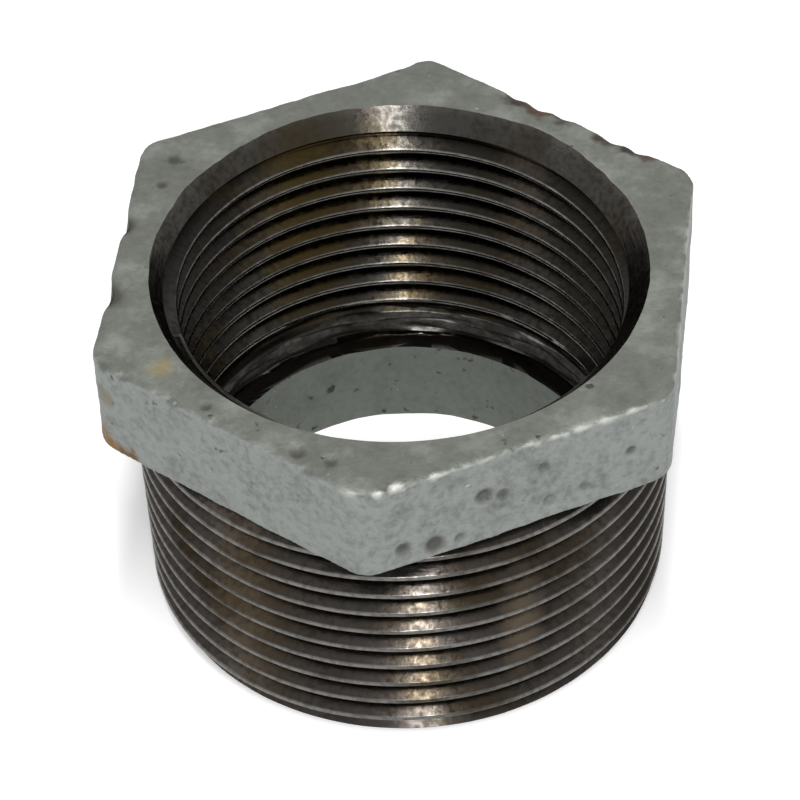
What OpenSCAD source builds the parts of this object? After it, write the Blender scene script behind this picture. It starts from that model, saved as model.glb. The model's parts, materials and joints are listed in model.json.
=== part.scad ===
// Hexagon reducing bush: a taper pipe thread outside and the next smaller pipe thread inside.
//
// One malleable iron casting joins two pipe sizes on one centre line. Its male end
// screws into the larger fitting, and the smaller pipe screws into its hexagon end.
// Lengths are in millimetres. +Z runs up the bore from the small end to the hexagon,
// and the origin is the centre of the small end's face.

/* [Hexagon] */
// Height of the hexagon
hex_h = 10; // [8:0.5:14]
// How far the flats stand out past the male thread's widest crest
hex_overhang = 0.7; // [0.3:0.1:5]
// How far the cast corners are rounded down from a sharp corner
hex_corner_cut = 0.5; // [0.1:0.05:1.2]
// Height of the soft edge at the top and bottom of each corner
hex_corner_edge = 0.8; // [0.2:0.1:2]

/* [Male thread] */
// Length of the threaded male end, below the hexagon
male_l = 25; // [20:0.5:34]
// Major diameter at the gauge plane
male_gauge_d = 47.803; // [47.2:0.001:60]
// Distance of the gauge plane from the small end
male_gauge_l = 12.7; // [8:0.1:16]
// Length of the thread over which its diameter grows by one
male_taper = 16; // [12:1:32]
// Width and height of the bevel that leads the male thread in
male_lead = 0.8; // [0.4:0.1:1.4]
// Least plain length between the last groove and the hexagon
male_runout = 1.2; // [0.8:0.1:3]

/* [Female thread] */
// Major diameter, at the roots
female_major_d = 41.91; // [30:0.001:42.3]
// Length of the threaded part of the bore, under its countersink
female_l = 22; // [14:0.5:26.5]
// Width of the countersink's slope, out past the thread's roots
countersink_w = 1; // [0.5:0.1:2]
// Depth of the countersink
countersink_depth = 1.4; // [0.6:0.1:3]

/* [Thread form] */
// Distance from one crest to the next, inside and outside
thread_pitch = 2.309; // [1.8:0.001:2.8]
// Radial depth of a thread
thread_depth = 1.479; // [1.1:0.001:1.8]

/* [Passage] */
// How far the drilled wall below the female thread stands back from the crests
drill_clear = 0.3; // [0.1:0.1:0.8]
// Length of the drilled wall
drilled_l = 3.2; // [2:0.1:5]
// Width of the ragged ledge where the drilled wall meets the rough cast passage
ledge_w = 1.7; // [0.5:0.1:3]
// How far the cast passage draws in from the ledge to the small end
passage_draw = 0.3; // [0.1:0.1:2]

/* [Hidden] */
$fn = 180;

total_h = male_l + hex_h;
crest_w = thread_pitch / 6;
flank_w = thread_pitch / 3;
cut_past = 1;

// Radius of the male thread's crests at a height above the small end.
function male_crest_r(z) = male_gauge_d / 2 + (z - male_gauge_l) / (2 * male_taper);

// How many more threads fit in a length after the first.
function threads_after_first(l) = floor(l / thread_pitch);

hex_flat_r = male_crest_r(male_l) + hex_overhang;
hex_corner_r = hex_flat_r / cos(30) - hex_corner_cut;

female_root_r = female_major_d / 2;
female_crest_r = female_root_r - thread_depth;
countersink_r = female_root_r + countersink_w;
female_top_z = total_h - countersink_depth;
female_end_z = female_top_z - female_l;

drilled_r = female_crest_r + drill_clear;
drilled_end_z = female_end_z - drilled_l;
passage_top_r = drilled_r - ledge_w;
passage_end_r = passage_top_r - passage_draw;

// Outline points of one groove cut into the male thread, from its lower lip to its upper lip.
// The root is a short true cylinder, and the lands between grooves slope with the taper.
function male_groove(z) =
    let (crest_r = male_crest_r(z), root_r = crest_r - thread_depth)
    [
        [crest_r, z - crest_w / 2 - flank_w],
        [root_r, z - crest_w / 2],
        [root_r, z + crest_w / 2],
        [crest_r, z + crest_w / 2 + flank_w]
    ];

// Outline points of one ridge of the female thread, from its upper foot to its lower foot.
function female_ridge(z) = [
    [female_root_r, z + crest_w / 2 + flank_w],
    [female_crest_r, z + crest_w / 2],
    [female_crest_r, z - crest_w / 2],
    [female_root_r, z - crest_w / 2 - flank_w]
];

// The male end, solid, with one ring groove for each turn of its thread.
module male_end() {
    first_z = male_lead + crest_w / 2 + flank_w;
    grooves = threads_after_first(male_l - male_runout - crest_w / 2 - flank_w - first_z);
    rotate_extrude()
        polygon([
            [0, 0],
            [male_crest_r(first_z) - male_lead, 0],
            for (i = [0 : grooves], p = male_groove(first_z + i * thread_pitch)) p,
            [male_crest_r(male_l), male_l],
            [0, male_l]
        ]);
}

// The hexagon, solid, with its corners rounded off about the centre line.
module hexagon() {
    translate([0, 0, male_l])
        intersection() {
            rotate(30)
                cylinder(h = hex_h, r = hex_flat_r / cos(30), $fn = 6);
            rotate_extrude()
                polygon([
                    [0, 0],
                    [hex_corner_r - hex_corner_edge, 0],
                    [hex_corner_r, hex_corner_edge],
                    [hex_corner_r, hex_h - hex_corner_edge],
                    [hex_corner_r - hex_corner_edge, hex_h],
                    [0, hex_h]
                ]);
        }
}

// What is cut from the casting: countersink, female thread, drilled wall and cast passage.
module through_bore() {
    rim_slope = countersink_w / countersink_depth;
    passage_slope = passage_draw / drilled_end_z;
    first_z = female_top_z - thread_pitch;
    ridges = threads_after_first(first_z - crest_w / 2 - flank_w - female_end_z);
    rotate_extrude()
        polygon([
            [0, total_h + cut_past],
            [countersink_r + rim_slope * cut_past, total_h + cut_past],
            [female_root_r, female_top_z],
            for (i = [0 : ridges], p = female_ridge(first_z - i * thread_pitch)) p,
            [drilled_r, female_end_z - crest_w],
            [drilled_r, drilled_end_z],
            [passage_top_r, drilled_end_z],
            [passage_end_r - passage_slope * cut_past, -cut_past],
            [0, -cut_past]
        ]);
}

// The whole casting.
module bush_body() {
    color("slategray")
        difference() {
            union() {
                male_end();
                hexagon();
            }
            through_bore();
        }
}

bush_body();
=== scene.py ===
"""Looks of a galvanised hexagon reducing bush: one zinc coated iron casting with two pipe threads.

The casting is made the way the real one is. A rough block with soft corners is dipped in zinc, and then tools
cut the taper thread outside, and the countersink, the parallel thread and the drilled wall inside.
Shapes are worked out in millimetres and brought to metres as the last step.
"""

import json
import logging
import math
from dataclasses import dataclass, field
from enum import Enum

import bmesh
import bpy
from mathutils import Euler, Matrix, Vector, geometry, noise


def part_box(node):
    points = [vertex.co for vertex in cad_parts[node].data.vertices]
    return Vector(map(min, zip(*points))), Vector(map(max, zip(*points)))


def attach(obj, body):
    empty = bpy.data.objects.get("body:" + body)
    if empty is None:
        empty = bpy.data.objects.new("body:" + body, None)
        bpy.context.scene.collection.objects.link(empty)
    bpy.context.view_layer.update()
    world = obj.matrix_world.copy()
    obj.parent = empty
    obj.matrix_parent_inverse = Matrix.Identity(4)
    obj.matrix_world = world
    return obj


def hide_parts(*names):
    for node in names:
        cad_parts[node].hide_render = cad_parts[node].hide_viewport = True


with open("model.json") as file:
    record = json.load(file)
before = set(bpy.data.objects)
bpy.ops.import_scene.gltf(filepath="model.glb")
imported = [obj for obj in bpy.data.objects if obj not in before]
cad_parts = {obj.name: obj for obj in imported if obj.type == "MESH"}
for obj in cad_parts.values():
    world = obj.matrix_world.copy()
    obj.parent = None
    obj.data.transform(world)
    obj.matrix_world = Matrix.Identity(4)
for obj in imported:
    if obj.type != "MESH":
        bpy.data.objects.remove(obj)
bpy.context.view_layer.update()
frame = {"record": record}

LOG = logging.getLogger("bush")
NODE = "bush_body"
MM = 0.001


class Finish(Enum):
    """The two finishes of the casting, each with its material slot on the mesh."""

    ZINC = 0
    CUT_IRON = 1


class Corner(Enum):
    """The hexagon's corners, by their angle in degrees about the bore."""

    FRONT = -90
    FRONT_RIGHT = -30
    BACK_RIGHT = 30
    BACK = 90
    BACK_LEFT = 150
    FRONT_LEFT = -150


def linear(hex_colour: str) -> tuple[float, float, float, float]:
    """Turns an sRGB hex colour to linear light.

    Args:
        hex_colour: Six hex digits after a hash.

    Returns:
        Linear red, green and blue, and an alpha of 1.
    """
    channels = [int(hex_colour[i:i + 2], 16) / 255 for i in (1, 3, 5)]
    return (*[c / 12.92 if c <= 0.04045 else ((c + 0.055) / 1.055) ** 2.4 for c in channels], 1.0)


def add_node(
    tree: bpy.types.NodeTree, kind: str, inputs: dict | None = None, **settings
) -> bpy.types.Node:
    """Adds a node with its settings and links.

    Args:
        tree: The material's or world's node tree.
        kind: The node's type name.
        inputs: Values or other nodes' sockets, by input name or number.
        settings: Properties of the node itself.

    Returns:
        The new node.
    """
    node = tree.nodes.new(kind)
    for name, value in settings.items():
        setattr(node, name, value)
    for socket, value in (inputs or {}).items():
        if isinstance(value, bpy.types.NodeSocket):
            tree.links.new(value, node.inputs[socket])
        else:
            node.inputs[socket].default_value = value
    return node


def per_mm(size_mm: float) -> float:
    """Gives the texture scale at which a pattern on Object coordinates repeats every size_mm."""
    return 1 / (size_mm * MM)


def bumps(point: Vector, size: float, height: float) -> float:
    """Gives the height of uneven bumps of about one size at a point, the same on each run."""
    return height * noise.noise(point / size)


def held(value: float, most: float = 1) -> float:
    """Keeps a value between 0 and the most it may be."""
    return min(max(value, 0), most)


@dataclass(frozen=True)
class BushSizes:
    """Sizes of the bush in millimetres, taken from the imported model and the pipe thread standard.

    The gauge plane is the height at which a taper thread has its full width. Angles are in degrees.
    """

    height: float
    flat_r: float
    gauge_r: float
    gauge_z: float
    female_crest_r: float
    head_h: float = 10
    pitch: float = 25.4 / 11
    thread_depth: float = 1.479
    taper: float = 16
    rim_r: float = 21.95
    countersink_depth: float = 2.6
    countersink_angle: float = 52
    female_l: float = 23.6
    drill_clear: float = 0.12
    ledge_z: float = 8.4
    ledge_w: float = 1.6

    @classmethod
    def from_frame(cls) -> "BushSizes":
        """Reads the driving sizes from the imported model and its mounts.

        Returns:
            The sizes, with the rest at their defaults.
        """
        low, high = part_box(NODE)
        mounts = {mount["name"]: mount for mount in frame["record"]["mounts"]}
        male = mounts["male_thread"]
        return cls(
            height=(high.z - low.z) / MM,
            flat_r=high.x / MM,
            gauge_r=male["dims"]["r_mm"],
            gauge_z=male["pos_m"][2] / MM,
            female_crest_r=mounts["female_thread"]["dims"]["r_mm"],
        )

    @property
    def head_z(self) -> float:
        """Height of the hexagon's underside."""
        return self.height - self.head_h

    @property
    def drilled_r(self) -> float:
        """Radius of the drilled wall below the female thread."""
        return self.female_crest_r + self.drill_clear

    @property
    def passage_r(self) -> float:
        """Radius of the cast passage at the ledge."""
        return self.drilled_r - self.ledge_w

    @property
    def runout_z(self) -> float:
        """Height at which the female thread ends and the drilled wall begins."""
        return self.height - self.female_l

    @property
    def countersink_slope(self) -> float:
        """How far the countersink's cone drops for each millimetre inwards."""
        return math.tan(math.radians(self.countersink_angle))

    @property
    def reach(self) -> float:
        """Distance from the centre line to a sharp corner of the hexagon."""
        return self.flat_r / math.cos(math.pi / 6)

    def male_growth(self, z: float) -> float:
        """Gives how much wider than its gauge plane the male thread is at a height."""
        return (z - self.gauge_z) / (2 * self.taper)

    def corner(self, corner: Corner, z: float) -> Vector:
        """Gives the place of a sharp corner of the hexagon at a height."""
        return polar(self.reach, corner.value, z)

    def along(self, start: Corner, end: Corner, share: float, z: float) -> Vector:
        """Gives a place on a side of the hexagon, a share of the way from one corner to the next."""
        return self.corner(start, z).lerp(self.corner(end, z), share)


@dataclass(frozen=True)
class Blemish:
    """A lump or a pit in the cast skin, in millimetres. Its height is negative for a pit."""

    place: Vector
    radius: float
    height: float
    widest: float = 3

    def push(self, point: Vector) -> float:
        """Gives how far the skin is pushed out at a point, in a soft round swell."""
        distance = (point - self.place).length / self.radius
        return self.height * math.exp(-distance * distance) if distance < self.widest else 0.0


@dataclass(frozen=True)
class EdgeHighlight:
    """A stretch of edge with a painted highlight along it: its ends and its half width in millimetres."""

    start: Vector
    end: Vector
    half_width: float
    strength: float
    ragged_every: float = 0.9
    soft_until: float = 1.6
    narrowest: float = 0.01

    def amount(self, point: Vector) -> float:
        """Gives how strong the painted highlight is at a point, ragged along the edge.

        Args:
            point: A place on the skin, in millimetres.

        Returns:
            The painted highlight's strength, from 0 to 1.
        """
        nearest, share = geometry.intersect_point_line(point, self.start, self.end)
        if not 0 < share < 1:
            return 0.0
        reach = self.half_width * (0.85 + bumps(point, self.ragged_every, 0.9))
        distance = (point - nearest).length / max(reach, self.narrowest)
        return self.strength * held(self.soft_until - distance)


@dataclass(frozen=True)
class Stain:
    """A coloured patch on a finish: its middle and radius in millimetres."""

    place: Vector
    radius: float
    colour: str
    strength: float = 1.0


@dataclass(frozen=True)
class Tint:
    """A colour that shows where a pattern passes from one value to another.

    The pattern's value at the start shows none of it, and the full value shows the most, from 0 to 1.
    """

    start: float
    full: float
    most: float
    colour: str

    def over(
        self, tree: bpy.types.NodeTree, pattern: bpy.types.NodeSocket, under: bpy.types.NodeSocket
    ) -> tuple[bpy.types.NodeSocket, bpy.types.NodeSocket]:
        """Lays the tint over a colour.

        Args:
            tree: The material's node tree.
            pattern: The value that says where the tint shows.
            under: The colour below it.

        Returns:
            The new colour, and the tint's share of it.
        """
        share = add_node(tree, "ShaderNodeMapRange", {
            "Value": pattern, "From Min": self.start, "From Max": self.full, "To Max": self.most}).outputs[0]
        mixed = add_node(
            tree, "ShaderNodeMix", {0: share, 6: under, 7: linear(self.colour)}, data_type="RGBA")
        return mixed.outputs[2], share


def keep_sharp(bm: bmesh.types.BMesh, angle: float) -> None:
    """Shades the mesh smooth, except over edges that turn more than the angle, in radians."""
    for face in bm.faces:
        face.smooth = True
    for edge in bm.edges:
        edge.smooth = len(edge.link_faces) != 2 or edge.calc_face_angle(0) < angle


def piece_from(bm: bmesh.types.BMesh, name: str) -> bpy.types.Object:
    """Makes an object from a bmesh and frees the bmesh.

    Args:
        bm: The finished bmesh.
        name: The object's name.

    Returns:
        The object, linked to the scene.
    """
    mesh = bpy.data.meshes.new(name)
    bm.to_mesh(mesh)
    bm.free()
    piece = bpy.data.objects.new(name, mesh)
    bpy.context.scene.collection.objects.link(piece)
    return piece


def apply_modifier(piece: bpy.types.Object, kind: str, **settings) -> None:
    """Gives a piece one modifier and takes its result as the piece's mesh.

    Args:
        piece: The object to change.
        kind: The modifier's type name.
        settings: The modifier's properties.
    """
    modifier = piece.modifiers.new(kind.lower(), kind)
    for name, value in settings.items():
        setattr(modifier, name, value)
    graph = bpy.context.evaluated_depsgraph_get()
    old = piece.data
    piece.data = bpy.data.meshes.new_from_object(piece.evaluated_get(graph))
    piece.modifiers.clear()
    bpy.data.meshes.remove(old)


def combine(piece: bpy.types.Object, tool: bpy.types.Object, operation: str) -> None:
    """Joins a tool's solid to a piece, or cuts it from it, and removes the tool.

    Args:
        piece: The object to change.
        tool: The object to join or to cut away.
        operation: UNION or DIFFERENCE.
    """
    apply_modifier(piece, "BOOLEAN", object=tool, operation=operation, solver="MANIFOLD")
    bpy.data.meshes.remove(tool.data)


def polar(radius: float, angle: float, z: float) -> Vector:
    """Gives a place by its distance from the bore's centre line, its angle in degrees and its height."""
    turn = math.radians(angle)
    return Vector((radius * math.cos(turn), radius * math.sin(turn), z))


@dataclass
class HelicalThread:
    """A bar with a true right-hand pipe thread, with the round crests and roots of the 55 degree form.

    A thread whose crests are nearer the centre line than its roots is a female one. The arc share is the
    standard radius of crest and root, as a share of the pitch.
    """

    crest_r: float
    root_r: float
    pitch: float
    crest_z: float
    crest_angle: float
    steps: int = 180
    arc_steps: int = 4
    arc_share: float = 0.1373
    flank_angle: float = math.radians(62.5)
    merge_within: float = 0.004

    def outline(self) -> list[tuple[float, float]]:
        """Works out one pitch of the outline.

        Returns:
            The radius and height of each point, from the start of a crest to the end of the root above it.
        """
        outward = 1 if self.crest_r > self.root_r else -1
        arc_r = self.arc_share * self.pitch
        turns = [self.flank_angle * (2 * i / self.arc_steps - 1) for i in range(self.arc_steps + 1)]
        dips = [(outward * arc_r * (1 - math.cos(turn)), arc_r * math.sin(turn)) for turn in turns]
        crest = [(self.crest_r - dip, z) for dip, z in dips]
        root = [(self.root_r + dip, self.pitch / 2 + z) for dip, z in dips]
        return crest + root

    def bar(self, low: float, high: float) -> bmesh.types.BMesh:
        """Spins the outline into a closed bar between two heights.

        Args:
            low: Height of the bar's lower end.
            high: Height of the bar's upper end.

        Returns:
            The bar as a bmesh.
        """
        bm = bmesh.new()
        start = self.crest_z - self.pitch * self.crest_angle / 360
        first = math.floor((low - start) / self.pitch) - 2
        last = math.ceil((high - start) / self.pitch) + 1
        chain = [
            bm.verts.new((radius, 0, start + turn * self.pitch + z))
            for turn in range(first, last)
            for radius, z in self.outline()
        ]
        edges = [bm.edges.new(pair) for pair in zip(chain, chain[1:])]
        # Each step also rises a little, so that one full turn meets the next turn of the outline.
        bmesh.ops.spin(
            bm, geom=chain + edges, cent=(0, 0, 0), axis=(0, 0, 1), dvec=(0, 0, self.pitch / self.steps),
            angle=2 * math.pi, steps=self.steps, use_merge=False,
        )
        bmesh.ops.remove_doubles(bm, verts=bm.verts, dist=self.merge_within)
        for height, outside in ((low, -1), (high, 1)):
            bmesh.ops.bisect_plane(
                bm, geom=bm.verts[:] + bm.edges[:] + bm.faces[:], dist=1e-5,
                plane_co=(0, 0, height), plane_no=(0, 0, outside), clear_outer=True,
            )
        bmesh.ops.holes_fill(bm, edges=[edge for edge in bm.edges if edge.is_boundary], sides=0)
        bmesh.ops.recalc_face_normals(bm, faces=bm.faces)
        return bm


@dataclass
class BushCasting:
    """The whole bush: a zinc coated block with its threads cut. Its lengths are in millimetres.

    The front angle says which way the near side of the threads faces, in degrees from -Y, and the crests are
    placed there. The skin is the finest lump or pit that the cast block keeps.
    """

    sizes: BushSizes
    materials: dict[Finish, bpy.types.Material]
    front_angle: float = 7.5
    skin: float = 0.3
    corner_bevel: float = 1.6
    edge_bevel: float = 0.45
    burr_size: float = 0.6
    sharp_angle: float = math.radians(35)
    blemishes: list[Blemish] = field(init=False)

    def __post_init__(self) -> None:
        """Sets the lumps and pits that stand out on this casting."""
        top = self.sizes.height
        low = self.sizes.head_z
        front, right, left = Corner.FRONT, Corner.FRONT_RIGHT, Corner.FRONT_LEFT
        back, back_right, back_left = Corner.BACK, Corner.BACK_RIGHT, Corner.BACK_LEFT
        along = self.sizes.along
        self.blemishes = [
            Blemish(along(back, back_left, 0.04, top), 1.1, 0.25),
            Blemish(along(back, back_right, 0.33, top), 1.0, -0.32),
            Blemish(along(back, back_right, 0.42, top), 1.3, -0.40),
            Blemish(along(back, back_right, 0.51, top), 0.8, -0.25),
            Blemish(along(back, back_right, 0.70, top), 1.1, -0.36),
            Blemish(along(back, back_right, 0.79, top), 0.9, -0.30),
            Blemish(polar(24.2, -104, top), 0.7, -0.35),
            Blemish(polar(24.6, -97, top), 0.6, -0.35),
            Blemish(polar(24.0, 158, top), 0.5, -0.25),
            Blemish(polar(25.0, 150, top), 0.6, -0.25),
            Blemish(polar(23.6, -127, top), 0.5, -0.25),
            Blemish(along(front, right, 0.02, top), 0.9, -0.5),
            Blemish(along(front, right, 0.10, top), 0.7, -0.4),
            Blemish(along(front, right, 0.39, top - 4.7), 0.8, -0.55),
            Blemish(along(front, right, 0.45, top - 5.2), 0.6, -0.40),
            Blemish(along(front, right, 0.60, top - 7.8), 0.6, -0.50),
            Blemish(along(front, right, 0.71, top - 7.4), 0.5, -0.35),
            Blemish(along(front, right, 0.58, top - 3.5), 0.5, -0.35),
            Blemish(along(front, right, 0.23, top - 8.4), 0.9, -0.50),
            Blemish(along(front, right, 0.13, top - 7.8), 0.7, -0.40),
            Blemish(along(front, right, 0.31, top - 8.6), 0.5, -0.35),
            Blemish(along(front, right, 0.86, top - 5.0), 0.5, -0.30),
            Blemish(along(left, front, 0.03, top), 0.8, -0.40),
            Blemish(along(left, front, 0.12, top), 0.6, -0.35),
            Blemish(along(left, front, 0.30, top), 0.7, -0.45),
            Blemish(along(left, front, 0.46, top), 0.5, -0.30),
            Blemish(along(left, front, 0.80, top), 0.7, -0.40),
            Blemish(along(left, back_left, 0.30, top), 1.5, -0.55),
            Blemish(along(left, back_left, 0.62, top), 1.2, -0.45),
            Blemish(along(left, back_left, 0.3, low), 1.4, -0.4),
        ]

    def blank(self) -> bpy.types.Object:
        """Casts the hexagon block, with soft corners and an uneven skin.

        Returns:
            The block, zinc all over.
        """
        sizes = self.sizes
        bm = bmesh.new()
        bmesh.ops.create_circle(bm, cap_ends=True, segments=6, radius=sizes.reach)
        up = bmesh.ops.extrude_face_region(bm, geom=bm.faces[:])
        risen = [item for item in up["geom"] if isinstance(item, bmesh.types.BMVert)]
        bmesh.ops.translate(bm, verts=risen, vec=(0, 0, sizes.head_h))
        bmesh.ops.recalc_face_normals(bm, faces=bm.faces)
        upright = [edge for edge in bm.edges if abs(edge.verts[0].co.z - edge.verts[1].co.z) > 1]
        bmesh.ops.bevel(
            bm, geom=upright, offset=self.corner_bevel, affect="EDGES", segments=4, profile=0.5, material=-1
        )
        rims = [edge for edge in bm.edges if edge.calc_face_angle(0) > 1]
        bmesh.ops.bevel(
            bm, geom=rims, offset=self.edge_bevel, affect="EDGES", segments=3, profile=0.5, material=-1
        )
        bmesh.ops.translate(bm, verts=bm.verts, vec=(0, 0, sizes.head_z))
        piece = piece_from(bm, "bush_casting")
        apply_modifier(piece, "REMESH", mode="VOXEL", voxel_size=self.skin)
        self.roughen(piece.data)
        return self.coat(piece, Finish.ZINC)

    def coat(self, piece: bpy.types.Object, finish: Finish) -> bpy.types.Object:
        """Gives a solid both finishes' slots, in one order, and all its faces one of them.

        Args:
            piece: The solid.
            finish: The finish of all its faces.

        Returns:
            The same solid.
        """
        piece.data.materials.clear()
        for each in Finish:
            piece.data.materials.append(self.materials[each])
        for face in piece.data.polygons:
            face.material_index = finish.value
        return piece

    def roughen(self, mesh: bpy.types.Mesh) -> None:
        """Moves the skin in by the slow swell and small lumps of a sand casting, and sets its blemishes."""
        swell_size, swell_depth = 7, 0.20
        lump_size, lump_depth = 1.9, 0.14
        bm = bmesh.new()
        bm.from_mesh(mesh)
        bm.normal_update()
        moves = []
        for vert in bm.verts:
            swell = 0.5 + bumps(vert.co, swell_size, 0.5)
            lumps = 0.5 + 0.5 * noise.fractal(vert.co / lump_size, 0.9, 2.0, 3)
            push = -swell_depth * swell - lump_depth * lumps
            push += sum(blemish.push(vert.co) for blemish in self.blemishes)
            moves.append(vert.normal * min(push, 0.0))
        for vert, move in zip(bm.verts, moves):
            vert.co += move
        bm.to_mesh(mesh)
        bm.free()

    def male_end(self) -> bpy.types.Object:
        """Cuts the taper thread on the male end, with the small bevel that leads it in.

        Returns:
            The threaded bar, cut iron all over.
        """
        sizes = self.sizes
        first_root_z = 0.95
        lead_h, lead_cut = 1.1, 0.75
        thread = HelicalThread(
            crest_r=sizes.gauge_r, root_r=sizes.gauge_r - sizes.thread_depth, pitch=sizes.pitch,
            crest_z=first_root_z + sizes.pitch / 2, crest_angle=self.front_angle - 90,
        )
        bm = thread.bar(0, sizes.head_z + 1)
        for vert in bm.verts:
            radius = vert.co.xy.length
            if radius < 1:
                continue
            grown = radius + sizes.male_growth(vert.co.z)
            lead_r = sizes.gauge_r + sizes.male_growth(0) - lead_cut + vert.co.z * lead_cut / lead_h
            grown = min(grown, lead_r)
            grown += bumps(vert.co, 1.5, 0.025)
            vert.co.xy *= grown / radius
        return self.coat(piece_from(bm, "male_tool"), Finish.CUT_IRON)

    def female_tool(self) -> bpy.types.Object:
        """Makes the solid that the tap and the drill take out of the block.

        The thread fades into the drilled wall, which is chattered, and the ledge under it is torn.

        Returns:
            The tool, cut iron all over.
        """
        sizes = self.sizes
        first_crest_below = 3.7
        fade_h = 1.6
        chatter_wide, chatter_high, chatter_depth = 5, 0.42, 0.34
        ledge_rings, ring_w = 6, 0.36
        thread = HelicalThread(
            crest_r=sizes.female_crest_r, root_r=sizes.female_crest_r + sizes.thread_depth, pitch=sizes.pitch,
            crest_z=sizes.height - first_crest_below, crest_angle=self.front_angle + 90,
        )
        bm = thread.bar(sizes.ledge_z, sizes.height + 2)
        for _ in range(ledge_rings):
            floor = min(bm.faces, key=lambda face: (round(face.calc_center_median().z, 3), -face.calc_area()))
            bmesh.ops.inset_region(bm, faces=[floor], thickness=ring_w, use_even_offset=True)
        for vert in bm.verts:
            radius = vert.co.xy.length
            if radius < 1:
                continue
            fade = held((vert.co.z - sizes.runout_z) / fade_h)
            cut = sizes.drilled_r + (max(radius, sizes.female_crest_r) - sizes.drilled_r) * fade
            cut += bumps(vert.co, 1.5, 0.02)
            x, y, z = vert.co
            chatter = noise.noise(Vector((x / chatter_wide, y / chatter_wide, z / chatter_high)))
            cut += chatter_depth * chatter * (1 - fade)
            vert.co.xy *= cut / radius
            if vert.co.z < sizes.ledge_z + 0.1:
                vert.co.z += bumps(vert.co, self.burr_size, 0.32) + bumps(vert.co, 4, 0.1)
        return self.coat(piece_from(bm, "female_tool"), Finish.CUT_IRON)

    def countersink_tool(self) -> bpy.types.Object:
        """Makes the cone that the countersink takes out of the block.

        Returns:
            The tool, cut iron all over.
        """
        sizes = self.sizes
        above = 1.0
        depth = sizes.countersink_depth
        bm = bmesh.new()
        bmesh.ops.create_cone(
            bm, cap_ends=True, segments=240, radius1=sizes.rim_r - depth / sizes.countersink_slope,
            radius2=sizes.rim_r + above / sizes.countersink_slope, depth=depth + above,
        )
        bmesh.ops.translate(bm, verts=bm.verts, vec=(0, 0, sizes.height + (above - depth) / 2))
        return self.coat(piece_from(bm, "countersink_tool"), Finish.CUT_IRON)

    def passage_tool(self) -> bpy.types.Object:
        """Makes the core that leaves the rough passage in the casting.

        Returns:
            The core, zinc all over.
        """
        sizes = self.sizes
        below, above = 2.0, 1.0
        small_end_step = 0.5
        draw = 0.04
        rings = 24
        rise = (sizes.ledge_z + above + below) / rings
        bm = bmesh.new()
        circle = bmesh.ops.create_circle(
            bm, cap_ends=True, segments=180, radius=sizes.passage_r - small_end_step
        )
        bmesh.ops.translate(bm, verts=circle["verts"], vec=(0, 0, -below))
        for _ in range(rings):
            top = max(bm.faces, key=lambda face: face.calc_center_median().z)
            up = bmesh.ops.extrude_face_region(bm, geom=[top])
            risen = [item for item in up["geom"] if isinstance(item, bmesh.types.BMVert)]
            bmesh.ops.translate(bm, verts=risen, vec=(0, 0, rise))
            bmesh.ops.delete(bm, geom=[top], context="FACES_ONLY")
        bmesh.ops.holes_fill(bm, edges=[edge for edge in bm.edges if edge.is_boundary], sides=0)
        bmesh.ops.recalc_face_normals(bm, faces=bm.faces)
        for vert in bm.verts:
            rough = bumps(vert.co, 3.5, 0.16) + bumps(vert.co, 1.1, 0.07)
            vert.co.xy *= 1 + (rough + draw * vert.co.z) / sizes.passage_r
        return self.coat(piece_from(bm, "passage_tool"), Finish.ZINC)

    def build(self) -> bpy.types.Object:
        """Casts the block, joins the male end, cuts the bore and brings the piece to metres.

        Returns:
            The finished bush.
        """
        piece = self.blank()
        combine(piece, self.male_end(), "UNION")
        for tool in (self.female_tool, self.countersink_tool, self.passage_tool):
            combine(piece, tool(), "DIFFERENCE")
        self.finish_mesh(piece.data)
        return piece

    def thread_depth_at(self, point: Vector) -> float:
        """Gives how deep in a thread a point lies.

        The plain machined faces take a value too, which sets how bright the cut iron is there.

        Args:
            point: A place on the finished surface, in millimetres.

        Returns:
            The depth, from 0 on a crest to 1 in a root.
        """
        sizes = self.sizes
        countersunk, drilled, burr_glint, torn_floor = 0.105, 0.05, 0.0, 0.3
        lead_h, lead_depth = 0.75, 0.3
        radius = point.xy.length
        middle = (sizes.female_crest_r + sizes.gauge_r) / 2
        if radius > middle and point.z < sizes.head_z + 0.3:
            deepest = lead_depth if point.z < lead_h else 1
            return held((sizes.gauge_r + sizes.male_growth(point.z) - radius) / sizes.thread_depth, deepest)
        below_face = sizes.height - point.z
        cone_r = sizes.rim_r - below_face / sizes.countersink_slope
        if abs(radius - cone_r) < 0.06 and below_face < sizes.countersink_depth + 0.1:
            return countersunk
        if point.z < sizes.ledge_z + 0.2:
            outward = (radius - sizes.passage_r) / sizes.ledge_w
            # Painted glints: spots along the ledge's inner edge take the bright crest colour, the rest of the
            # ledge a dark flank colour.
            return burr_glint if bumps(point, self.burr_size, 1) - 0.5 * outward > -0.1 else torn_floor
        if point.z < sizes.runout_z:
            return drilled
        return held((radius - sizes.female_crest_r) / sizes.thread_depth)

    def edge_highlights(self) -> list[EdgeHighlight]:
        """Lists the stretches of the hexagon's upper edge that take a painted highlight."""
        top = self.sizes.height - 0.35
        along = self.sizes.along
        front, right, left = Corner.FRONT, Corner.FRONT_RIGHT, Corner.FRONT_LEFT
        back_right = Corner.BACK_RIGHT
        return [
            EdgeHighlight(along(front, right, 0.04, top), along(front, right, 0.97, top), 0.24, 0.75),
            EdgeHighlight(along(front, right, 0.02, top), along(front, right, 0.14, top), 0.42, 0.9),
            EdgeHighlight(along(front, left, 0.02, top), along(front, left, 0.08, top), 0.3, 0.5),
            EdgeHighlight(along(right, back_right, 0.02, top), along(right, back_right, 0.9, top), 0.25, 0.5),
        ]

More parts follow.
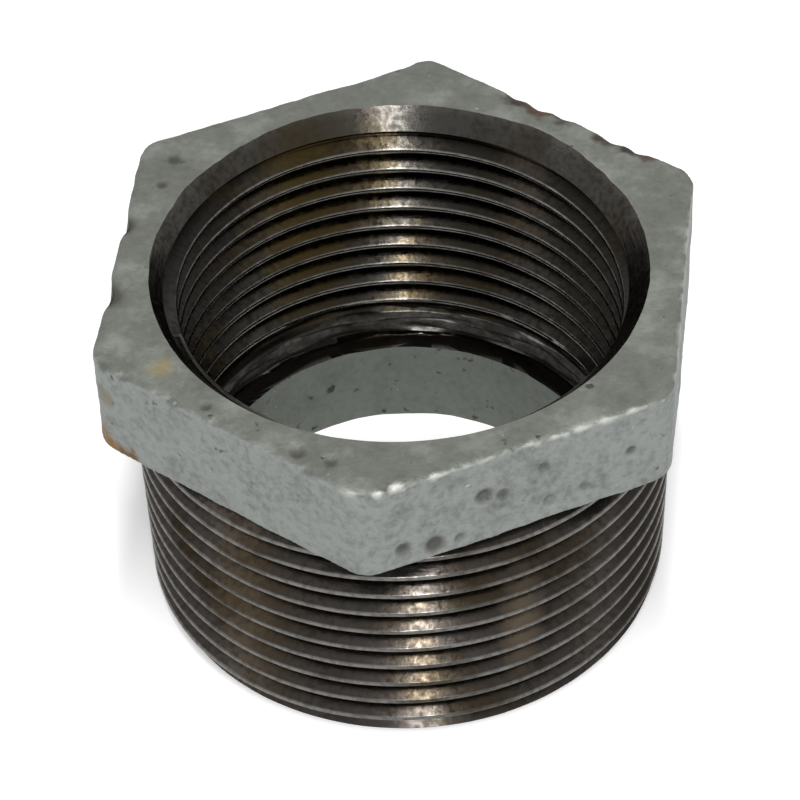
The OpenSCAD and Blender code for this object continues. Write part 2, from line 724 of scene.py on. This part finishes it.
    def finish_mesh(self, mesh: bpy.types.Mesh) -> None:
        """Cleans the mesh, stores the values that the materials read, and scales it to metres.

        Args:
            mesh: The bush's mesh in millimetres, which this changes.
        """
        sizes = self.sizes
        bm = bmesh.new()
        bm.from_mesh(mesh)
        bmesh.ops.dissolve_degenerate(bm, dist=1e-4, edges=bm.edges)
        depth = bm.verts.layers.float.new("thread_depth")
        edge_highlight = bm.verts.layers.float.new("edge_wear")
        pitted = bm.verts.layers.float.new("pitted")
        pits = [blemish for blemish in self.blemishes if blemish.height < 0]
        edges = self.edge_highlights()
        for vert in bm.verts:
            vert[depth] = self.thread_depth_at(vert.co)
            # Painted highlight: vertices near the top edges store how bright the edge is painted.
            if vert.co.z > sizes.height - 1.5:
                vert[edge_highlight] = max(edge.amount(vert.co) for edge in edges)
            if vert.co.z > sizes.head_z - 1:
                vert[pitted] = max(pit.push(vert.co) / pit.height for pit in pits)
        keep_sharp(bm, self.sharp_angle)
        bmesh.ops.scale(bm, vec=(MM, MM, MM), verts=bm.verts)
        bm.to_mesh(mesh)
        bm.free()


@dataclass(frozen=True)
class ZincSkin:
    """Hot-dip zinc on a sand casting: a dull, mottled grey skin with small lumps and dark pits.

    The flat top is painted greener and darker than the upright sides as painted shade, and the passage darker
    than both. A painted highlight lies along the hexagon's upper edges, and pits hold dirt.
    """

    sizes: BushSizes
    base: str = "#6c6f67"
    lit_side_tone: str = "#929794"
    fleck: Tint = Tint(0.56, 0.30, 0.5, "#585a55")
    pale: Tint = Tint(0.50, 0.72, 0.6, "#979b94")
    dim: Tint = Tint(0.46, 0.28, 0.5, "#4a4b44")
    passage: Tint = Tint(19.0 * MM, 18.4 * MM, 0.62, "#6a7066")
    pit: Tint = Tint(0.70, 0.78, 0.85, "#2e2d2a")
    speck: Tint = Tint(0.79, 0.84, 0.6, "#c4c8c4")
    hole: Tint = Tint(0.15, 0.5, 0.8, "#37342d")
    edge_highlight_tint: Tint = Tint(0.0, 1.0, 1.0, "#d8d8d0")

    def stains(self) -> list[Stain]:
        """Lists the rust and the wear that stand out on the skin."""
        top = self.sizes.height
        low = self.sizes.head_z
        along = self.sizes.along
        front, left = Corner.FRONT, Corner.FRONT_LEFT
        back, back_right = Corner.BACK, Corner.BACK_RIGHT
        return [
            Stain(along(left, front, 0.03, low + 0.5), 2.0, "#86642f"),
            Stain(along(left, front, 0.12, low + 0.2), 1.6, "#6b4c24"),
            Stain(along(left, front, 0.04, top - 3.5), 1.4, "#77693f", 0.5),
            Stain(along(back, back_right, 0.34, top), 1.8, "#2c2018"),
            Stain(along(back, back_right, 0.43, top), 1.8, "#4a3020"),
            Stain(along(back, back_right, 0.52, top), 1.3, "#2e241c"),
            Stain(along(back, back_right, 0.68, top), 1.6, "#3a2a1e"),
            Stain(along(back, back_right, 0.76, top), 1.5, "#241c16"),
            Stain(along(back, back_right, 0.84, top), 1.2, "#44342a"),
            Stain(polar(23.6, -142, top), 1.2, "#8a7a45", 0.55),
        ]

    def material(self) -> bpy.types.Material:
        """Builds the zinc material, whose patterns are 0.75 to 4 mm across, as the lumps of the skin are.

        Returns:
            The material.
        """
        made = bpy.data.materials.new("hot_dip_zinc")
        made.use_nodes = True
        tree = made.node_tree
        tree.nodes.clear()
        place = add_node(tree, "ShaderNodeTexCoord").outputs["Object"]
        mottle, grain, pits, specks = [
            add_node(tree, "ShaderNodeTexNoise", {
                "Vector": place, "Scale": per_mm(size), "Detail": detail, "Roughness": roughness}).outputs[0]
            for size, detail, roughness in (
                (4, 6.0, 0.65), (0.75, 5.0, 0.6), (1.3, 2.0, 0.5), (1.1, 1.0, 0.5)
            )
        ]
        pitted = add_node(tree, "ShaderNodeAttribute", attribute_name="pitted").outputs["Fac"]
        worn = add_node(tree, "ShaderNodeAttribute", attribute_name="edge_wear").outputs["Fac"]
        flat = add_node(tree, "ShaderNodeVectorMath", {0: place, 1: (1, 1, 0)}, operation="MULTIPLY")
        reach = add_node(tree, "ShaderNodeVectorMath", {0: flat.outputs[0]}, operation="LENGTH")
        radius = reach.outputs["Value"]
        normal = add_node(tree, "ShaderNodeNewGeometry").outputs["Normal"]
        up = add_node(tree, "ShaderNodeSeparateXYZ", {0: normal}).outputs["Z"]
        # Painted light and shade: faces that point sideways take the lighter side tone, faces that point up
        # the darker top tone.
        top_shade_mask = add_node(tree, "ShaderNodeMapRange", {"Value": up, "From Min": 0.3, "From Max": 0.9})
        colour = add_node(tree, "ShaderNodeMix", {
            0: top_shade_mask.outputs[0], 6: linear(self.lit_side_tone), 7: linear(self.base)}, data_type="RGBA").outputs[2]
        for pattern, tint in ((grain, self.fleck), (mottle, self.pale), (mottle, self.dim)):
            colour, _ = tint.over(tree, pattern, colour)
        colour, in_passage = self.passage.over(tree, radius, colour)
        more_pits = 0.05 / self.passage.most
        pitting = add_node(
            tree, "ShaderNodeMath", {0: in_passage, 1: more_pits, 2: pits}, operation="MULTIPLY_ADD")
        colour, pit = self.pit.over(tree, pitting.outputs[0], colour)
        # The edge attribute lays a pale painted highlight along the hexagon's upper edges.
        for pattern, tint in ((specks, self.speck), (pitted, self.hole), (worn, self.edge_highlight_tint)):
            colour, _ = tint.over(tree, pattern, colour)
        ragged, outer, inner = 1.6, 1.9, 1.3
        for stain in self.stains():
            spread = stain.radius * MM
            away = add_node(
                tree, "ShaderNodeVectorMath", {0: place, 1: stain.place * MM}, operation="DISTANCE")
            edge = add_node(
                tree, "ShaderNodeMath", {0: specks, 1: ragged * spread, 2: away.outputs["Value"]},
                operation="MULTIPLY_ADD")
            tint = Tint(outer * spread, inner * spread, stain.strength, stain.colour)
            colour, _ = tint.over(tree, edge.outputs[0], colour)
        rough = add_node(tree, "ShaderNodeMapRange", {"Value": mottle, "To Min": 0.62, "To Max": 0.38})
        height = add_node(tree, "ShaderNodeMath", {0: pit, 1: -0.6, 2: grain}, operation="MULTIPLY_ADD")
        bump = add_node(tree, "ShaderNodeBump", {
            "Height": height.outputs[0], "Strength": 0.55, "Distance": 0.25 * MM})
        skin = add_node(tree, "ShaderNodeBsdfPrincipled", {
            "Base Color": colour, "Metallic": 0.45, "Roughness": rough.outputs[0], "Normal": bump.outputs[0]})
        add_node(tree, "ShaderNodeOutputMaterial", {"Surface": skin.outputs[0]})
        return made


@dataclass(frozen=True)
class CutIron:
    """Malleable iron cut by a die and a tap and scored, with painted highlight on crests and painted shade in
    roots.

    The bore's flanks take a darker colour than the outside's. The two radii are where one finish
    passes into the other, in the metal between the threads.
    """

    sizes: BushSizes
    crest: str = "#85837f"
    flank: str = "#3c3835"
    bore_flank: str = "#262421"
    bore_side_r: float = 21.3
    outer_side_r: float = 21.9
    root_shade: Tint = Tint(0.35, 0.95, 1.0, "#090807")
    brown: Tint = Tint(0.5, 0.68, 0.7, "#2c2414")
    dull: Tint = Tint(0.45, 0.62, 0.35, "#090807")
    drilled_roughness: float = 0.24

    def stains(self) -> list[Stain]:
        """Lists the dark and tan patches outside and in the bore, and a wide painted shade on the thread's
        right side.
        """
        return [
            Stain(polar(22.5, -58, 12), 2.6, "#63584a", 0.75),
            Stain(polar(22.5, -118, 12), 5.5, "#3b3226", 0.7),
            # Painted shade: this wide dark patch darkens the male thread's right side.
            Stain(polar(22.5, -24, 12), 12.0, "#262320", 0.7),
            Stain(polar(20.5, 122, 26), 6.0, "#352c16", 0.8),
            Stain(polar(20.5, 104, 29), 3.0, "#3a3222", 0.6),
            Stain(polar(20.5, 62, 28), 3.0, "#37302a", 0.6),
        ]

    def material(self) -> bpy.types.Material:
        """Builds the cut iron material.

        The tool's scores are drawn 0.25 mm apart, which is coarser than the real ones, so that they show.

        Returns:
            The material.
        """
        made = bpy.data.materials.new("cut_malleable_iron")
        made.use_nodes = True
        tree = made.node_tree
        tree.nodes.clear()
        place = add_node(tree, "ShaderNodeTexCoord").outputs["Object"]
        depth = add_node(tree, "ShaderNodeAttribute", attribute_name="thread_depth").outputs["Fac"]
        drawn_out = (0.06, 0.06, 1.0)
        stretched = add_node(tree, "ShaderNodeMapping", {"Vector": place, "Scale": drawn_out}).outputs[0]
        scores, cloud, worn = [
            add_node(tree, "ShaderNodeTexNoise", {
                "Vector": vector, "Scale": per_mm(size), "Detail": detail, "Roughness": roughness}).outputs[0]
            for vector, size, detail, roughness in (
                (stretched, 0.25, 3.0, 0.7), (place, 9, 3.0, 0.5), (place, 0.6, 4.0, 0.5)
            )
        ]
        flat = add_node(tree, "ShaderNodeVectorMath", {0: place, 1: (1, 1, 0)}, operation="MULTIPLY")
        reach = add_node(tree, "ShaderNodeVectorMath", {0: flat.outputs[0]}, operation="LENGTH")
        radius = reach.outputs["Value"]
        outside = add_node(tree, "ShaderNodeMapRange", {
            "Value": radius, "From Min": self.bore_side_r * MM,
            "From Max": self.outer_side_r * MM}).outputs[0]
        flank = add_node(tree, "ShaderNodeMix", {
            0: outside, 6: linear(self.bore_flank), 7: linear(self.flank)}, data_type="RGBA").outputs[2]
        # Painted highlight: where the depth is low, on the crests, the bright crest colour shows.
        low = add_node(
            tree, "ShaderNodeMapRange", {"Value": depth, "From Min": 0.01, "From Max": 0.12}).outputs[0]
        colour = add_node(
            tree, "ShaderNodeMix", {0: low, 6: linear(self.crest), 7: flank}, data_type="RGBA").outputs[2]
        # Painted shade: the roots are darkened near black by their depth.
        for pattern, tint in ((depth, self.root_shade), (cloud, self.brown), (worn, self.dull)):
            colour, _ = tint.over(tree, pattern, colour)
        squash = 0.3
        drawn = add_node(tree, "ShaderNodeVectorMath", {0: place, 1: (1, 1, squash)}, operation="MULTIPLY")
        for stain in self.stains():
            middle = stain.place * MM
            middle.z *= squash
            away = add_node(
                tree, "ShaderNodeVectorMath", {0: drawn.outputs[0], 1: middle}, operation="DISTANCE")
            edge = add_node(tree, "ShaderNodeMapRange", {
                "Value": away.outputs["Value"], "From Min": stain.radius * MM,
                "From Max": 0.3 * stain.radius * MM, "To Max": stain.strength})
            below = add_node(tree, "ShaderNodeMath", {0: edge.outputs[0], 1: low}, operation="MULTIPLY")
            colour = add_node(tree, "ShaderNodeMix", {
                0: below.outputs[0], 6: colour, 7: linear(stain.colour)}, data_type="RGBA").outputs[2]
        polish = add_node(tree, "ShaderNodeMapRange", {
            "Value": worn, "From Min": 0.3, "From Max": 0.7, "To Min": 0.10, "To Max": 0.30})
        up = add_node(tree, "ShaderNodeSeparateXYZ", {0: place}).outputs["Z"]
        runout = self.sizes.runout_z * MM
        drilled = add_node(
            tree, "ShaderNodeMapRange", {"Value": up, "From Min": runout + MM, "From Max": runout})
        inside = add_node(tree, "ShaderNodeMath", {0: drilled.outputs[0], 1: outside},
                          operation="SUBTRACT", use_clamp=True)
        rough = add_node(tree, "ShaderNodeMath", {
            0: inside.outputs[0], 1: self.drilled_roughness, 2: polish.outputs[0]}, operation="MULTIPLY_ADD")
        height = add_node(tree, "ShaderNodeMath", {0: worn, 1: 0.8, 2: scores}, operation="MULTIPLY_ADD")
        bump = add_node(tree, "ShaderNodeBump", {
            "Height": height.outputs[0], "Strength": 0.5, "Distance": 0.03 * MM})
        iron = add_node(tree, "ShaderNodeBsdfPrincipled", {
            "Base Color": colour, "Metallic": 1.0, "Roughness": rough.outputs[0], "Normal": bump.outputs[0]})
        add_node(tree, "ShaderNodeOutputMaterial", {"Surface": iron.outputs[0]})
        return made


@dataclass(frozen=True)
class Lamp:
    """A soft light, placed by its angles from the object. Lengths are in metres."""

    name: str
    azimuth: float
    elevation: float
    distance: float
    width: float
    length: float
    power: float

    def place(self, target: Vector) -> None:
        """Puts the lamp in the scene, turned to the target.

        Args:
            target: The place it shines at, in metres.
        """
        light = bpy.data.lights.new(self.name, "AREA")
        light.shape = "RECTANGLE"
        light.size = self.width
        light.size_y = self.length
        light.energy = self.power
        lamp = bpy.data.objects.new(self.name, light)
        bpy.context.scene.collection.objects.link(lamp)
        lamp.location = target + view_direction(self.azimuth, self.elevation) * self.distance
        lamp.rotation_euler = (target - lamp.location).to_track_quat("-Z", "Y").to_euler()


def view_direction(azimuth: float, elevation: float) -> Vector:
    """Gives the direction towards a viewer; azimuth 0 stands on the -Y side, and 90 on the +X side."""
    turn, rise = math.radians(azimuth), math.radians(elevation)
    return Vector((math.sin(turn) * math.cos(rise), -math.cos(turn) * math.cos(rise), math.sin(rise)))


@dataclass(frozen=True)
class Studio:
    """The pale floor, the soft lamps and the camera. Angles are in degrees and the distance is in metres."""

    sizes: BushSizes
    azimuth: float = 7.55
    elevation: float = 42.0
    distance: float = 0.35
    lens: float = 181.0
    tilt: float = -1.93
    pan: float = 0.05
    roll: float = -1.9

    def camera(self) -> None:
        """Places the camera, which looks at the middle of the hexagon's face and is then turned a little."""
        target = Vector((0, 0, self.sizes.height * MM))
        data = bpy.data.cameras.new("camera")
        data.lens = self.lens
        data.sensor_width = 36
        data.clip_start = 0.01
        camera = bpy.data.objects.new("camera", data)
        bpy.context.scene.collection.objects.link(camera)
        camera.location = target + view_direction(self.azimuth, self.elevation) * self.distance
        facing = (target - camera.location).to_track_quat("-Z", "Y")
        turn = Euler((math.radians(self.tilt), math.radians(self.pan), 0)).to_quaternion()
        roll = Euler((0, 0, math.radians(self.roll))).to_quaternion()
        camera.rotation_euler = (facing @ turn @ roll).to_euler()
        bpy.context.scene.camera = camera

    def lamps(self) -> None:
        """Places the soft lamps around the object."""
        target = Vector((0, 0, self.sizes.height * MM / 2))
        facing = self.azimuth + 2
        for lamp in (
            Lamp("overhead", facing, 71, 0.9, 0.035, 0.58, 5.6),
            Lamp("front", facing, 38, 0.9, 0.16, 0.22, 2.1),
            Lamp("fill_left", -75, 45, 1.2, 0.3, 0.8, 0.6),
            Lamp("fill_right", 95, 50, 1.2, 0.3, 0.8, 0.6),
        ):
            lamp.place(target)

    def floor(self) -> None:
        """Lays the pale floor, which shows white to the camera and keeps the shadow."""
        bm = bmesh.new()
        bmesh.ops.create_grid(bm, x_segments=1, y_segments=1, size=3)
        ground = piece_from(bm, "floor")
        made = bpy.data.materials.new("pale_floor")
        made.use_nodes = True
        tree = made.node_tree
        tree.nodes.clear()
        paper = add_node(tree, "ShaderNodeBsdfDiffuse", {"Color": (0.9, 0.9, 0.9, 1)})
        glow = add_node(tree, "ShaderNodeEmission", {"Color": (1, 1, 1, 1), "Strength": 0.35})
        lit = add_node(tree, "ShaderNodeAddShader", {0: paper.outputs[0], 1: glow.outputs[0]})
        seen = add_node(tree, "ShaderNodeLightPath").outputs["Is Camera Ray"]
        shown = add_node(tree, "ShaderNodeMixShader", {0: seen, 1: paper.outputs[0], 2: lit.outputs[0]})
        add_node(tree, "ShaderNodeOutputMaterial", {"Surface": shown.outputs[0]})
        ground.data.materials.append(made)

    def world(self) -> None:
        """Makes the surroundings white to the camera and in reflections, and dim as a light."""
        made = bpy.data.worlds.new("studio")
        bpy.context.scene.world = made
        made.use_nodes = True
        tree = made.node_tree
        tree.nodes.clear()
        path = add_node(tree, "ShaderNodeLightPath").outputs
        seen = add_node(tree, "ShaderNodeMath", {0: path["Is Camera Ray"], 1: path["Is Glossy Ray"]},
                        operation="MAXIMUM")
        seen = add_node(tree, "ShaderNodeMath", {0: seen.outputs[0], 1: path["Is Transmission Ray"]},
                        operation="MAXIMUM")
        strength = add_node(
            tree, "ShaderNodeMapRange", {"Value": seen.outputs[0], "To Min": 0.2, "To Max": 1.0})
        sky = add_node(tree, "ShaderNodeBackground", {"Color": (1, 1, 1, 1), "Strength": strength.outputs[0]})
        add_node(tree, "ShaderNodeOutputWorld", {"Surface": sky.outputs[0]})


def main() -> None:
    """Builds the camera, the bush and the studio, in that order."""
    logging.basicConfig(level=logging.INFO, format="%(name)s: %(message)s")
    bpy.context.scene.view_settings.view_transform = "Standard"
    sizes = BushSizes.from_frame()
    studio = Studio(sizes)
    studio.camera()
    materials = {Finish.ZINC: ZincSkin(sizes).material(), Finish.CUT_IRON: CutIron(sizes).material()}
    piece = BushCasting(sizes, materials).build()
    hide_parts(NODE)
    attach(piece, "root")
    triangles = sum(len(polygon.vertices) - 2 for polygon in piece.data.polygons)
    used = sorted({polygon.material_index for polygon in piece.data.polygons})
    LOG.info("%s: %d triangles, material slots %s", piece.name, triangles, used)
    studio.floor()
    studio.lamps()
    studio.world()


if __name__ == "__main__":
    main()
